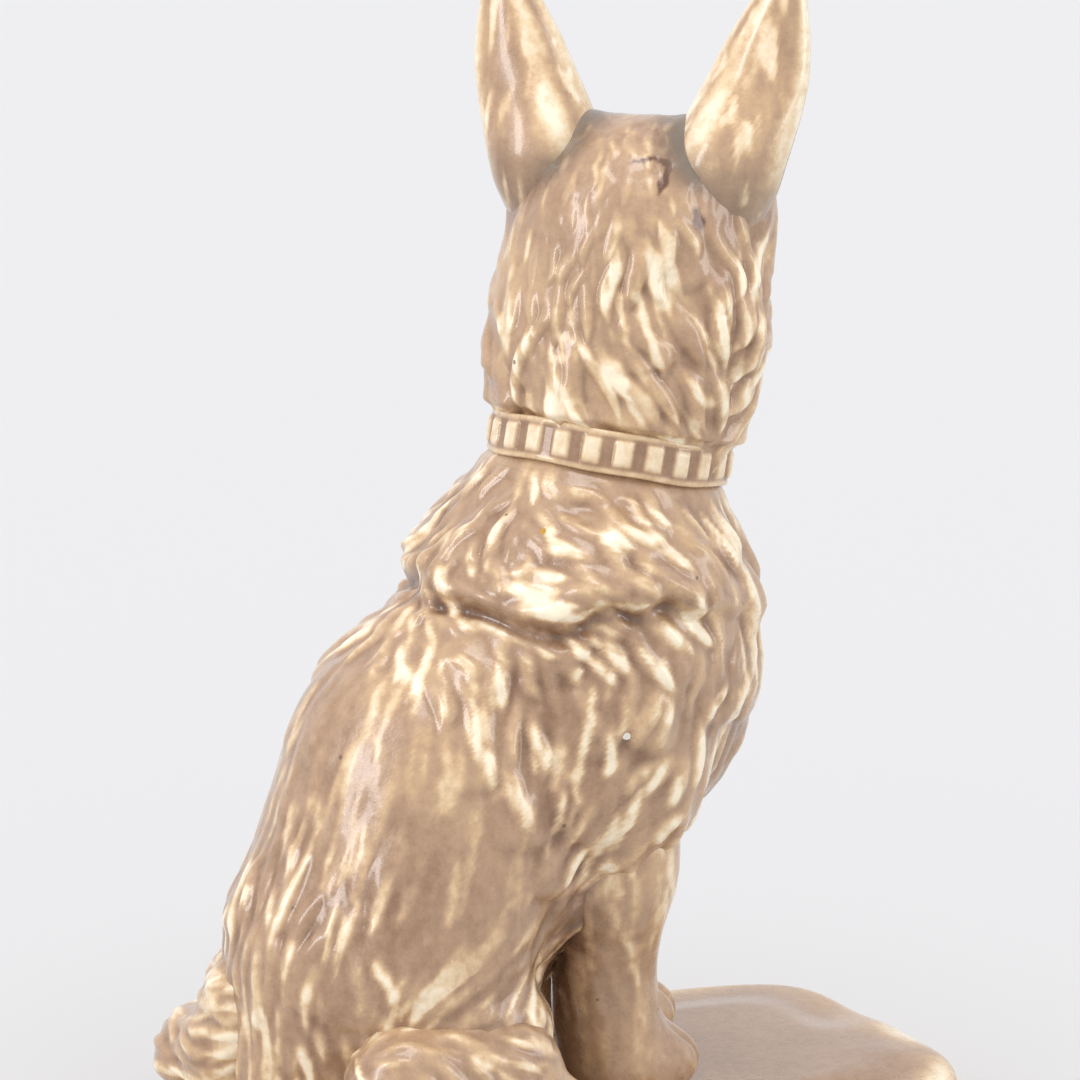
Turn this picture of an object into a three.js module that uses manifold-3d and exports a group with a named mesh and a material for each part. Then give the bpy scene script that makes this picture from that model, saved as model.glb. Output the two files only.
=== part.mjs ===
// A seated shepherd-dog figurine in glazed slip-cast ceramic, 240 mm tall, on a low slab.
// Millimetres, +Z up. The origin is the centre of the slab's underside. The body faces -Y, and the
// head is turned to the dog's left, which is +X.
//
// The potter's castings are separate solids, put together as they are luted with slip before
// firing: a slab, a hollow body, a hollow head, two ears, a collar strap over the neck seam, two
// forelegs, two hind legs and a tail. Each surface is "clay": a signed distance made of eggs
// (ellipsoids) and limbs (cones with round ends) that melt into each other. A skin is then a loft of
// rings round a path inside the clay, each ring point standing where its ray leaves the clay.

import * as THREE from "three";
import { LoftGeometry } from "three/addons/geometries/LoftGeometry.js";
import { mergeVertices } from "three/addons/utils/BufferGeometryUtils.js";
import Module from "manifold-3d";

// ---- Driving dimensions ----
const SLAB_LENGTH = 162;
const SLAB_WIDTH = 90;
const SLAB_THICK = 15;
const SLAB_CORNER = 13; // corner radius in plan
const SLAB_ROUND = 5; // rounding of the slab's edges
const WALL = 5; // thickness of the cast clay wall
const JOINT_GAP = 0.3; // slip joint between two castings
const VENT_RADIUS = 5; // vent hole in the slab's underside
const DOG_FORWARD = 4; // the dog's own Y zero lies this far in front of the slab's centre

// The collar: centre, axis up the neck, and the strap's section.
const COLLAR_AT = new THREE.Vector3(1, -9.8, 128);
const NECK_AXIS = new THREE.Vector3(0.066, -0.215, 0.974).normalize();
const STRAP_HEIGHT = 8.4;
const STRAP_INNER = 20.6;
const STRAP_OUTER = 23.8;
const STRAP_SIDES = 48;
const TABLETS = 24; // plain raised tablets round the strap
const TABLET_WIDTH = 3.4;
const TABLET_HEIGHT = 6;
const TABLET_PROUD = 0.8;

// The head's own frame: origin mid-skull, the nose along its -Y.
const HEAD_AT = new THREE.Vector3(4, -18, 163);
const HEAD_YAW = 47;
const HEAD_PITCH = 6;

// Colours and finishes of the glaze and of the bare clay.
const GLAZE_TAN = new THREE.MeshStandardMaterial({ color: 0xc9a98a, roughness: 0.3, metalness: 0 });
const GLAZE_CREAM = new THREE.MeshStandardMaterial({ color: 0xe3cfae, roughness: 0.3, metalness: 0 });
const GLAZE_SLAB = new THREE.MeshStandardMaterial({ color: 0xb9997a, roughness: 0.35, metalness: 0 });

// ---- Clay: signed distances, negative inside ----

const vec = (x, y, z) => new THREE.Vector3(x, y, z);

// A rotation: pitch about X first, then yaw about Z, in degrees.
function turned(yaw, pitch) {
  const rad = THREE.MathUtils.degToRad;
  return new THREE.Quaternion().setFromEuler(new THREE.Euler(rad(pitch), 0, rad(yaw), "ZXY"));
}

// An ellipsoid: distance is close to k0 (k0 - 1) / k1, with k0 = |p / r| and k1 = |p / r^2|.
function egg(centre, radii, pitch = 0, yaw = 0) {
  const back = turned(yaw, pitch).invert();
  const q = vec(0, 0, 0);
  return (p) => {
    q.copy(p).sub(centre).applyQuaternion(back).divide(radii);
    const k0 = q.length();
    return (k0 * (k0 - 1)) / Math.max(q.divide(radii).length(), 1e-6);
  };
}

// A cone with round ends, from radius ra at a to radius rb at b.
function limb(a, ra, b, rb) {
  const axis = b.clone().sub(a);
  const long2 = axis.lengthSq();
  const q = vec(0, 0, 0);
  return (p) => {
    q.copy(p).sub(a);
    const t = THREE.MathUtils.clamp(q.dot(axis) / long2, 0, 1);
    return q.addScaledVector(axis, -t).length() - (ra + t * (rb - ra));
  };
}

// Clays melted into one with a fillet of about k.
function melt(k, ...clays) {
  return (p) => {
    const d = clays.map((clay) => clay(p));
    const least = Math.min(...d);
    return least - k * Math.log(d.reduce((sum, v) => sum + Math.exp((least - v) / k), 0));
  };
}

// A clay and its mirror image on the other side of x = 0.
function pair(clay) {
  const q = vec(0, 0, 0);
  return (p) => clay(q.set(Math.abs(p.x), p.y, p.z));
}

// A clay described in the head's own frame.
function inHead(clay) {
  const back = turned(HEAD_YAW, HEAD_PITCH).invert();
  const q = vec(0, 0, 0);
  return (p) => clay(q.copy(p).sub(HEAD_AT).applyQuaternion(back));
}

// ---- The dog, from the slab's top surface (z = 0) up ----

const chest = egg(vec(0, -7.5, 93), vec(30.5, 28, 31), -14);
const breastbone = egg(vec(1, -19.5, 79), vec(18.5, 13.5, 24), -4);
const ribs = limb(vec(0, -1, 97), 27.5, vec(0, 27.5, 66), 28.5);
const loin = limb(vec(0, 27.5, 66), 28.5, vec(0, 44, 34), 27);
const seat = limb(vec(0, 50, 26), 18, vec(0, 54, 12), 17);
const belly = limb(vec(0, 6, 62), 20, vec(0, 24, 38), 19);
const withers = egg(vec(0, 3.5, 107), vec(25, 18, 14), -30);
const neckRoot = limb(vec(0, -5, 108), 25, vec(2, -12, 140), 21.8);
const rightShoulder = egg(vec(-20, 2, 80), vec(14, 17, 27), -10);
const leftShoulder = egg(vec(20, -4, 80), vec(14, 17, 27), -10);
const thigh = egg(vec(21, 40, 40), vec(14, 19, 27), 20, 4);
const knee = limb(vec(27, 36, 24), 10, vec(28, 28, 22), 8);
const trunk = [chest, breastbone, ribs, loin, seat, belly, withers, neckRoot, rightShoulder, leftShoulder];
const bodyClay = melt(4, ...trunk, pair(melt(3.5, thigh, knee)));

const skull = egg(vec(0, 3, 6), vec(23, 23, 23));
const cheeks = pair(egg(vec(14, 5, -10), vec(13, 15, 18)));
const nape = egg(vec(0, 10, -14), vec(21, 15, 20));
const brows = pair(egg(vec(8, -14, 6), vec(7, 8, 6)));
const neck = limb(vec(1, -8.5, 112), 22, vec(2.5, -13.5, 146), 22.5);
const domeClay = melt(3, inHead(melt(3, skull, cheeks, nape, brows)), neck);
const muzzle = limb(vec(0, -8, -3), 13, vec(0, -41, -8), 7);
const jaw = limb(vec(0, -10, -11), 8, vec(0, -36, -14.5), 4.2);
const muzzleClay = inHead(melt(3, muzzle, jaw));

// A foreleg and its paw: x and y place the paw, and the elbow stays by the chest.
function forelegClay(side, elbowY, footY) {
  const elbow = vec(16 * side, elbowY, 48);
  const wrist = vec(14 * side, footY, 18);
  const upperArm = limb(vec(17 * side, elbowY - 2, 66), 15, elbow, 13.5);
  const forearm = limb(elbow, 13.5, wrist, 8.5);
  return melt(3, upperArm, forearm, limb(wrist, 8.5, vec(14 * side, footY - 2, 8), 8.5));
}

// The folded hind leg's shin, from knee to hock.
const shinClay = (side) => limb(vec(31 * side, 31, 17), 11, vec(32 * side, 52, 16.5), 11.5);

const tailRoute = [
  vec(5, 59, 33),
  vec(8, 64, 24),
  vec(13, 67, 13),
  vec(26, 68, 8),
  vec(36.5, 60, 6.8),
  vec(40, 46, 5.5),
];
const tailRadii = [8, 9, 8.5, 7.5, 6.5, 3.5];
const tailLengths = tailRadii.slice(1).map((r, i) => limb(tailRoute[i], tailRadii[i], tailRoute[i + 1], r));
const tailClay = melt(2, ...tailLengths);

// ---- Skins: lofted rings that follow the clay ----

// How far a ray from a point inside the clay travels before it reaches the given level.
function rayLength(clay, from, along, level, longest = 70) {
  const p = vec(0, 0, 0);
  const outside = (r) => clay(p.copy(from).addScaledVector(along, r)) > level;
  let far = 1;
  while (far < longest && !outside(far)) far += 1;
  let near = far - 1;
  for (let i = 0; i < 12; i++) {
    const mid = (near + far) / 2;
    if (outside(mid)) far = mid;
    else near = mid;
  }
  return (near + far) / 2;
}

// Rings round a path: the first and last few open like a fan, so that both ends are rounded.
function skin(clay, path, { stations, fan = 4, points, level = 0 }) {
  const curve = path.length > 2 ? new THREE.CatmullRomCurve3(path) : new THREE.LineCurve3(...path);
  const { tangents, normals, binormals } = curve.computeFrenetFrames(stations);
  const rings = [];
  const addRing = (at, station, tilt) => {
    const centre = curve.getPointAt(at);
    rings.push(
      Array.from({ length: points }, (_, j) => {
        const angle = (j / points) * 2 * Math.PI;
        const ray = vec(0, 0, 0)
          .addScaledVector(normals[station], Math.cos(angle) * Math.cos(tilt))
          .addScaledVector(binormals[station], Math.sin(angle) * Math.cos(tilt))
          .addScaledVector(tangents[station], Math.sin(tilt));
        return centre.clone().addScaledVector(ray, rayLength(clay, centre, ray, level));
      }),
    );
  };
  const steepest = THREE.MathUtils.degToRad(84);
  for (let i = fan; i > 0; i--) addRing(0, 0, (-steepest * i) / fan);
  for (let i = 0; i <= stations; i++) addRing(i / stations, i, 0);
  for (let i = 1; i <= fan; i++) addRing(1, stations, (steepest * i) / fan);
  return new LoftGeometry(rings, { capStart: true, capEnd: true });
}

// ---- Solids: joined and cut with manifold-3d ----

const wasm = await Module();
wasm.setup();

function solid(geometry) {
  const bare = new THREE.BufferGeometry().setIndex(geometry.index);
  const merged = mergeVertices(bare.setAttribute("position", geometry.getAttribute("position")), 1e-4);
  return new wasm.Manifold(
    new wasm.Mesh({
      numProp: 3,
      vertProperties: new Float32Array(merged.attributes.position.array),
      triVerts: new Uint32Array(merged.index.array),
    }),
  );
}

const skinned = (clay, path, options) => solid(skin(clay, path, options));

// Everything on the side of a plane that its normal points to, as a big block.
function halfSpace(through, normal, size = 400) {
  const block = new THREE.BoxGeometry(size, size, size).translate(0, 0, size / 2);
  const turn = new THREE.Quaternion().setFromUnitVectors(vec(0, 0, 1), normal);
  return solid(block.applyQuaternion(turn).translate(through.x, through.y, through.z));
}

function mesh(name, body, material) {
  const { vertProperties, triVerts } = body.getMesh();
  const geometry = new THREE.BufferGeometry();
  geometry.setAttribute("position", new THREE.BufferAttribute(vertProperties, 3));
  geometry.setIndex(new THREE.BufferAttribute(triVerts, 1));
  geometry.computeVertexNormals();
  const made = new THREE.Mesh(geometry, material);
  made.name = name;
  return made;
}

// The largest body of a solid: what a cut leaves besides a few crumbs.
function largest(body) {
  return body.decompose().sort((a, b) => b.volume() - a.volume())[0];
}

const up = vec(0, 0, 1);
const belowSlabTop = halfSpace(vec(0, 0, JOINT_GAP), up.clone().negate());
const seam = (gap) => COLLAR_AT.clone().addScaledVector(NECK_AXIS, gap);
const aboveNeckSeam = halfSpace(seam(-JOINT_GAP / 2), NECK_AXIS);
const belowNeckSeam = halfSpace(seam(JOINT_GAP / 2), NECK_AXIS.clone().negate());

// ---- Collar strap ----

// A ring of rectangular section round the neck axis, grown by a clearance on every side.
function strapRing(inner, outer, height) {
  const half = height / 2;
  const ease = Math.min(0.8, height / 4);
  const profile = [
    new THREE.Vector2(inner, -half),
    new THREE.Vector2(outer - ease, -half),
    new THREE.Vector2(outer, -half + ease),
    new THREE.Vector2(outer, half - ease),
    new THREE.Vector2(outer - ease, half),
    new THREE.Vector2(inner, half),
    new THREE.Vector2(inner, -half),
  ];
  return new THREE.LatheGeometry(profile, STRAP_SIDES).rotateX(Math.PI / 2);
}

// Moves a geometry made round Z at the origin to the collar's place on the neck.
function onNeck(geometry) {
  const turn = new THREE.Quaternion().setFromUnitVectors(up, NECK_AXIS);
  return geometry.applyQuaternion(turn).translate(COLLAR_AT.x, COLLAR_AT.y, COLLAR_AT.z);
}

function collar() {
  let strap = solid(onNeck(strapRing(STRAP_INNER, STRAP_OUTER, STRAP_HEIGHT)));
  for (let i = 0; i < TABLETS; i++) {
    const tablet = new THREE.BoxGeometry(2 * TABLET_PROUD, TABLET_WIDTH, TABLET_HEIGHT);
    tablet.translate(STRAP_OUTER, 0, 0).rotateZ((i / TABLETS) * 2 * Math.PI);
    strap = strap.add(solid(onNeck(tablet)));
  }
  return strap;
}

const strapSeat = solid(
  onNeck(strapRing(STRAP_INNER - JOINT_GAP, STRAP_OUTER + 20, STRAP_HEIGHT + 2 * JOINT_GAP)),
);

// ---- Body ----

const bodyPath = [vec(0, 46, 8), vec(0, 38, 44), vec(0, 10, 88), vec(1, -7, 116), vec(1.5, -10, 130)];
const bodyRings = { stations: 17, fan: 4, points: 28 };
const bodyGrown = skinned(bodyClay, bodyPath, { ...bodyRings, level: JOINT_GAP });

// The bore up the neck, which joins the hollows of the body and the head.
function neckBore(below, above) {
  const bore = new THREE.CylinderGeometry(STRAP_INNER - WALL, STRAP_INNER - WALL, above + below, 24);
  return solid(onNeck(bore.rotateX(Math.PI / 2).translate(0, 0, (above - below) / 2)));
}

function body() {
  const hollowPath = [vec(0, 46, 8), vec(0, 38, 44), vec(0, 12, 86), vec(1, -8, 112)];
  const hollow = skinned(bodyClay, hollowPath, { stations: 9, fan: 3, points: 16, level: -WALL });
  const outer = skinned(bodyClay, bodyPath, bodyRings).subtract(aboveNeckSeam).subtract(strapSeat);
  return largest(outer.subtract(belowSlabTop).subtract(hollow).subtract(neckBore(20, 20)));
}

// ---- Head ----

const headTurn = turned(HEAD_YAW, HEAD_PITCH);
const toDog = (x, y, z) => vec(x, y, z).applyQuaternion(headTurn).add(HEAD_AT);
const skullPath = [vec(1.5, -10, 122), vec(2.5, -13, 142), toDog(0, 3, 4)];
const muzzlePath = [toDog(0, -10, -5), toDog(0, -24, -8), toDog(0, -38, -9.5)];

function headOuter(level) {
  const dome = skinned(domeClay, skullPath, { stations: 11, fan: 5, points: 28, level });
  const snout = skinned(muzzleClay, muzzlePath, { stations: 6, fan: 4, points: 18, level });
  return dome.add(snout);
}

const headGrown = headOuter(JOINT_GAP);

function head() {
  const hollow = skinned(domeClay, skullPath, { stations: 6, fan: 3, points: 16, level: -WALL });
  const outer = headOuter(0).subtract(belowNeckSeam).subtract(strapSeat);
  return largest(outer.subtract(hollow).subtract(neckBore(20, 12)));
}

// ---- Ears: crescent sections that narrow to the tip ----

// Down the ear: middle of the section (x, y) and half its width, at each height z above mid-skull.
const EAR_LINE = [
  { z: 4, x: 18, y: 3.5, half: 3 },
  { z: 9, x: 17.8, y: 4, half: 7.5 },
  { z: 15, x: 17.8, y: 4.6, half: 10.4 },
  { z: 22, x: 18.4, y: 4.3, half: 11.7 },
  { z: 30, x: 20.8, y: 3.6, half: 11.4 },
  { z: 37, x: 23.2, y: 3.2, half: 10.2 },
  { z: 44, x: 24.9, y: 3, half: 8.5 },
  { z: 52, x: 26.8, y: 3, half: 5.6 },
  { z: 58, x: 28, y: 3, half: 3 },
  { z: 61.5, x: 28.6, y: 3, half: 0.9 },
];
const earMiddle = new THREE.CatmullRomCurve3(EAR_LINE.map(({ x, y, z }) => vec(x, y, z)));
const earHalf = new THREE.CatmullRomCurve3(EAR_LINE.map(({ half }, i) => vec(i, half, 0)));
const EAR_TURN = THREE.MathUtils.degToRad(3); // the bowl opens forwards and a little outwards

// One closed section: the convex back edge, then the hollow front edge.
function earSection(t, side) {
  const middle = earMiddle.getPoint(t);
  const half = earHalf.getPoint(t).y;
  const bow = half * (0.9 - 0.45 * THREE.MathUtils.smoothstep(t, 0.3, 0.62)); // fullest at the root
  const edge = (angle, depth) => {
    const across = half * Math.cos(angle);
    const deep = depth * Math.sin(angle);
    const x = middle.x + across * Math.cos(EAR_TURN) - deep * Math.sin(EAR_TURN);
    const y = middle.y + across * Math.sin(EAR_TURN) + deep * Math.cos(EAR_TURN);
    return toDog(side * x, y, middle.z);
  };
  const n = 7;
  const back = Array.from({ length: n + 1 }, (_, i) => edge((i / n) * Math.PI, bow));
  const hollow = bow - 0.35 * half - 0.5;
  const front = Array.from({ length: n - 1 }, (_, i) => edge(Math.PI - ((i + 1) / n) * Math.PI, hollow));
  const section = [...back, ...front];
  return side > 0 ? section : section.reverse();
}

function ear(side) {
  const count = 12;
  const sections = Array.from({ length: count + 1 }, (_, i) => earSection(i / count, side));
  const blade = solid(new LoftGeometry(sections, { capStart: true, capEnd: true }));
  return largest(blade.subtract(headGrown));
}

// ---- Legs and tail ----

function foreleg(side, elbowY, footY) {
  const clay = forelegClay(side, elbowY, footY);
  const down = [vec(16.5 * side, elbowY, 56), vec(14 * side, footY, 18), vec(14 * side, footY - 2, 7)];
  const pillar = skinned(clay, down, { stations: 8, fan: 3, points: 14 });
  const paw = solid(new THREE.SphereGeometry(1, 14, 9).scale(10, 13, 7.5).translate(14 * side, footY - 7, 6));
  return largest(pillar.add(paw).subtract(bodyGrown).subtract(belowSlabTop));
}

function shin(side, level) {
  const path = [vec(31 * side, 34, 16), vec(32 * side, 50, 15)];
  return skinned(shinClay(side), path, { stations: 2, fan: 4, points: 16, level });
}

function hindLeg(side) {
  const foot = solid(new THREE.SphereGeometry(1, 14, 9).scale(9.5, 14, 7.5).translate(35 * side, 25, 6.5));
  return largest(shin(side, 0).add(foot).subtract(bodyGrown).subtract(belowSlabTop));
}

function tail() {
  const brush = skinned(tailClay, tailRoute, { stations: 12, fan: 3, points: 12 });
  return largest(brush.subtract(bodyGrown).subtract(shin(1, JOINT_GAP)).subtract(belowSlabTop));
}

// ---- Slab ----

function roundedPlan(length, width, corner) {
  const plan = new THREE.Shape();
  const x = width / 2 - corner;
  const y = length / 2 - corner;
  plan.absarc(x, y, corner, 0, Math.PI / 2);
  plan.absarc(-x, y, corner, Math.PI / 2, Math.PI);
  plan.absarc(-x, -y, corner, Math.PI, 1.5 * Math.PI);
  plan.absarc(x, -y, corner, 1.5 * Math.PI, 2 * Math.PI);
  return plan;
}

// A slab with rounded edges: its top at z = top, its plan centred on the slab's own centre.
function slabBlock(length, width, thick, corner, round, top, steps) {
  const plan = roundedPlan(length - 2 * round, width - 2 * round, corner - round);
  const block = new THREE.ExtrudeGeometry(plan, {
    depth: thick - 2 * round,
    bevelThickness: round,
    bevelSize: round,
    bevelSegments: steps,
    curveSegments: 3 * steps,
  });
  return solid(block.translate(0, DOG_FORWARD, top - thick + round));
}

function slab() {
  const outer = slabBlock(SLAB_LENGTH, SLAB_WIDTH, SLAB_THICK, SLAB_CORNER, SLAB_ROUND, 0, 2);
  const hollowDepth = SLAB_THICK - 2 * WALL;
  const hollowCorner = SLAB_CORNER - WALL;
  const margin = 3 * WALL;
  const hollow = slabBlock(SLAB_LENGTH - margin, SLAB_WIDTH - margin, hollowDepth, hollowCorner, 1, -WALL, 1);
  const vent = new THREE.CylinderGeometry(VENT_RADIUS, VENT_RADIUS, SLAB_THICK, 24).rotateX(Math.PI / 2);
  return outer.subtract(hollow).subtract(solid(vent.translate(0, -18, -SLAB_THICK)));
}

// ---- The figurine ----

const figurine = new THREE.Group();
figurine.position.set(0, -DOG_FORWARD, SLAB_THICK);
figurine.add(
  mesh("slab_base", slab(), GLAZE_SLAB),
  mesh("body", body(), GLAZE_TAN),
  mesh("head", head(), GLAZE_TAN),
  mesh("collar", collar(), GLAZE_CREAM),
  mesh("left_ear", ear(1), GLAZE_TAN),
  mesh("right_ear", ear(-1), GLAZE_TAN),
  mesh("left_foreleg", foreleg(1, -7, -11.5), GLAZE_TAN),
  mesh("right_foreleg", foreleg(-1, 1, -1), GLAZE_TAN),
  mesh("left_hind_leg", hindLeg(1), GLAZE_TAN),
  mesh("right_hind_leg", hindLeg(-1), GLAZE_TAN),
  mesh("tail", tail(), GLAZE_TAN),
);

export default figurine;
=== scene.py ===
# %% [markdown]
# # A seated shepherd dog in glazed ceramic
#
# The real object is a slip-cast ornament: liquid clay is poured into plaster moulds, the castings
# are stuck together with more slip, the modelled fur is sharpened with a tool, and one satin glaze
# goes over everything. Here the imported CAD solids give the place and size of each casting, and this
# lesson works out a finer surface for each of them, combs fur into it, and mixes the glaze.

# %% Load the frame
import bpy
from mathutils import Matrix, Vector
import numpy as np


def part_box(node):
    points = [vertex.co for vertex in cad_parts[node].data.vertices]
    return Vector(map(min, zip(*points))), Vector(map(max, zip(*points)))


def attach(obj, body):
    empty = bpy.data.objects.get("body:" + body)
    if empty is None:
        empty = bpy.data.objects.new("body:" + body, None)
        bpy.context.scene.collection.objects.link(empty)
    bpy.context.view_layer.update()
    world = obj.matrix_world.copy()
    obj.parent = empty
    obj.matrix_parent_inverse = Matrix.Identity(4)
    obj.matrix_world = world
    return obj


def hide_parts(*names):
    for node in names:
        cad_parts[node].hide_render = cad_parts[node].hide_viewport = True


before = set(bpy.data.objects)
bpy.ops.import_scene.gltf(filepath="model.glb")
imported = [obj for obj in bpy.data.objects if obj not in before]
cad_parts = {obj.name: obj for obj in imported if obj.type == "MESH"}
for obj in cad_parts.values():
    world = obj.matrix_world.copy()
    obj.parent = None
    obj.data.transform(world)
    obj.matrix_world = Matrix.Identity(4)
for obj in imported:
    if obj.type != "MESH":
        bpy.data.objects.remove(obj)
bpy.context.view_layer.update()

# %% [markdown]
# ## Working units
#
# A sculptor's millimetres are easier to think in than metres. All shapes below are in millimetres in
# the dog's own frame: z = 0 is the top of the slab, the dog faces -y and its left side is +x. The
# move to the frame's metres happens once, when a mesh is made. The slab's thickness is read off the
# CAD solid's box, and the step from the dog's middle to the slab's middle is given as a number.

# %% The dog's own frame
slab_low, slab_high = (np.array(corner) * 1000 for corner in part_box("slab_base"))
SLAB_THICK = slab_high[2] - slab_low[2]
DOG_FORWARD = 4.0


def to_metres(p):
    """Dog frame in mm to the shared frame in metres: up by the slab, forward, then divided by 1000."""
    return (p + np.array([0.0, -DOG_FORWARD, SLAB_THICK])) / 1000


print("slab", np.round(slab_high - slab_low, 1), "mm")

# %% [markdown]
# ## Camera, light and floor
#
# The figurine is seen from behind its right side, a little from above, through a long lens that keeps
# the shape free of distortion. A satin glaze shows its form by broad soft reflections, so the light is
# a bright surround with tall soft boxes at both sides and one overhead, as in a potter's catalogue.
# The floor is one wide pale disc that is as bright as the surround, so that there is no horizon, and the
# standard view shows colours as they were mixed. The soft boxes light the figurine alone, as flags and
# grids do in a studio, which keeps the floor one even tone.

# %% Camera
AZIMUTH, ELEVATION, DISTANCE = np.radians(242), np.radians(14), 1.1
FRAME_WIDE = 0.216  # metres across the frame at the aim
aim = to_metres(np.array([25.4, -7.4, 103.8]))
level, rise = np.cos(ELEVATION), np.sin(ELEVATION)
back = np.array([np.sin(AZIMUTH) * level, -np.cos(AZIMUTH) * level, rise])


def aim_at(thing, place, target):
    """Stands thing at place with its -z axis towards target and its y axis up."""
    thing.location = place
    look = Vector(target) - Vector(place)
    thing.rotation_euler = look.to_track_quat("-Z", "Y").to_euler()


camera_data = bpy.data.cameras.new("camera")
camera_data.sensor_width = 36
camera_data.lens = camera_data.sensor_width * DISTANCE / FRAME_WIDE
camera = bpy.data.objects.new("camera", camera_data)
bpy.context.collection.objects.link(camera)
aim_at(camera, aim + back * DISTANCE, aim)
bpy.context.scene.camera = camera
print("camera at", np.round(aim + back * DISTANCE, 3), "lens", round(camera_data.lens, 1), "mm")

# %% Lights
world = bpy.data.worlds.new("studio")
world.use_nodes = True
world.node_tree.nodes["Background"].inputs["Color"].default_value = (0.97, 0.97, 1.0, 1)
world.node_tree.nodes["Background"].inputs["Strength"].default_value = 0.935
bpy.context.scene.world = world
bpy.context.scene.view_settings.view_transform = "Standard"

side = np.array([-0.469, -0.883, 0.0])


lit_by_boxes = bpy.data.collections.new("lit_by_boxes")
bpy.context.scene.collection.children.link(lit_by_boxes)


def soft_box(name, place, size, watts, tint):
    """An oblong area light at place, size = (width, height) in metres, turned to the middle of the dog."""
    light = bpy.data.lights.new(name, "AREA")
    light.shape = "RECTANGLE"
    light.size, light.size_y = size
    light.energy = watts
    light.color = tint
    lamp = bpy.data.objects.new(name, light)
    bpy.context.collection.objects.link(lamp)
    aim_at(lamp, place, aim)
    lamp.light_linking.receiver_collection = lit_by_boxes


left_place = aim + back * 0.5 - side * 0.8 + np.array([0, 0, 0.35])
right_place = aim + back * 0.25 + side * 0.9 + np.array([0, 0, 0.3])
soft_box("left_box", left_place, (0.2, 0.7), 4.0, (1.0, 0.98, 1.0))
soft_box("right_box", right_place, (0.25, 0.7), 2.2, (0.96, 0.97, 1.0))
soft_box("top_box", aim + back * 0.25 + np.array([0, 0, 0.95]), (0.45, 0.45), 3.0, (1, 1, 1))
print(len(bpy.data.lights), "soft boxes")

# %% Floor
def floor_disc():
    """Rings of a flat circle, 12 m across: radius from one parameter, angle from the other."""
    turn = np.linspace(0, 2 * np.pi, 97)[:-1]
    radius = np.linspace(0.01, 6.0, 12)[:, None]
    return np.stack([radius * np.cos(turn), radius * np.sin(turn), 0 * radius * turn], -1)


def grid_faces(rows, cols):
    """Quads of a grid that closes on itself sideways: each joins two rows and two columns."""
    ring = np.arange(rows * cols).reshape(rows, cols)
    nxt = np.roll(ring, -1, axis=1)
    return np.stack([ring[:-1], nxt[:-1], nxt[1:], ring[1:]], -1).reshape(-1, 4)


def make_object(name, points, faces, smooth=True):
    """A mesh object from an array of points in metres and a list of face arrays, set in one go."""
    mesh = bpy.data.meshes.new(name)
    sizes = np.concatenate([np.full(len(f), f.shape[1]) for f in faces])
    corners = np.concatenate([f.ravel() for f in faces])
    mesh.vertices.add(len(points))
    mesh.vertices.foreach_set("co", np.ascontiguousarray(points, dtype=np.float32).ravel())
    mesh.loops.add(len(corners))
    mesh.loops.foreach_set("vertex_index", corners.astype(np.int32))
    mesh.polygons.add(len(sizes))
    mesh.polygons.foreach_set("loop_start", (np.cumsum(sizes) - sizes).astype(np.int32))
    mesh.polygons.foreach_set("loop_total", sizes.astype(np.int32))
    mesh.polygons.foreach_set("use_smooth", np.full(len(sizes), smooth))
    mesh.update(calc_edges=True)
    made = bpy.data.objects.new(name, mesh)
    bpy.context.collection.objects.link(made)
    return made


sweep = floor_disc()
floor_faces = [grid_faces(*sweep.shape[:2]), np.arange(96)[None, ::-1]]
floor = make_object("studio_floor", sweep.reshape(-1, 3), floor_faces)
paper = bpy.data.materials.new("pale_paper")
paper.use_nodes = True
paper.node_tree.nodes["Principled BSDF"].inputs["Base Color"].default_value = (0.95, 0.95, 0.94, 1)
paper.node_tree.nodes["Principled BSDF"].inputs["Roughness"].default_value = 0.9
floor.data.materials.append(paper)
print("floor of", len(floor.data.polygons), "faces")

# %% [markdown]
# ## Clay
#
# A dog is all muscle masses that run into each other, and no lathe or extrusion gives that. A sculptor
# presses lumps of clay together and smooths the joins, and arithmetic can do the same: each lump is a
# distance, negative inside it, and a soft minimum melts neighbouring lumps with a fillet. Only two
# kinds of lump are needed: an egg for a mass, and a limb for anything long.

# %% Lumps of clay
def unit(v):
    """Vectors divided by their own length."""
    return v / np.maximum(np.linalg.norm(v, axis=-1, keepdims=True), 1e-9)


def turned(yaw=0.0, pitch=0.0, roll=0.0):
    """Rotation matrix: roll about y first, then pitch about x, then yaw about z, in degrees."""
    a, b, c = np.radians([yaw, pitch, roll])
    about_z = np.array([[np.cos(a), -np.sin(a), 0], [np.sin(a), np.cos(a), 0], [0, 0, 1]])
    about_x = np.array([[1, 0, 0], [0, np.cos(b), -np.sin(b)], [0, np.sin(b), np.cos(b)]])
    about_y = np.array([[np.cos(c), 0, np.sin(c)], [0, 1, 0], [-np.sin(c), 0, np.cos(c)]])
    return about_z @ about_x @ about_y


def egg(p, centre, radii, turn=np.eye(3)):
    """Ellipsoid: with k0 = |p / r| and k1 = |p / r squared|, the distance is near k0 (k0 - 1) / k1."""
    q = (p - np.array(centre)) @ turn / np.array(radii)
    k0 = np.linalg.norm(q, axis=-1)
    k1 = np.linalg.norm(q / np.array(radii), axis=-1)
    return k0 * (k0 - 1) / np.maximum(k1, 1e-6)


def limb(p, a, ra, b, rb):
    """Cone with round ends: distance to the segment from a to b, less a radius that runs from ra to rb."""
    a = np.array(a, float)
    axis = np.array(b) - a
    t = np.clip((p - a) @ axis / (axis @ axis), 0, 1)
    return np.linalg.norm(p - a - t[..., None] * axis, axis=-1) - (ra + t * (rb - ra))


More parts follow.
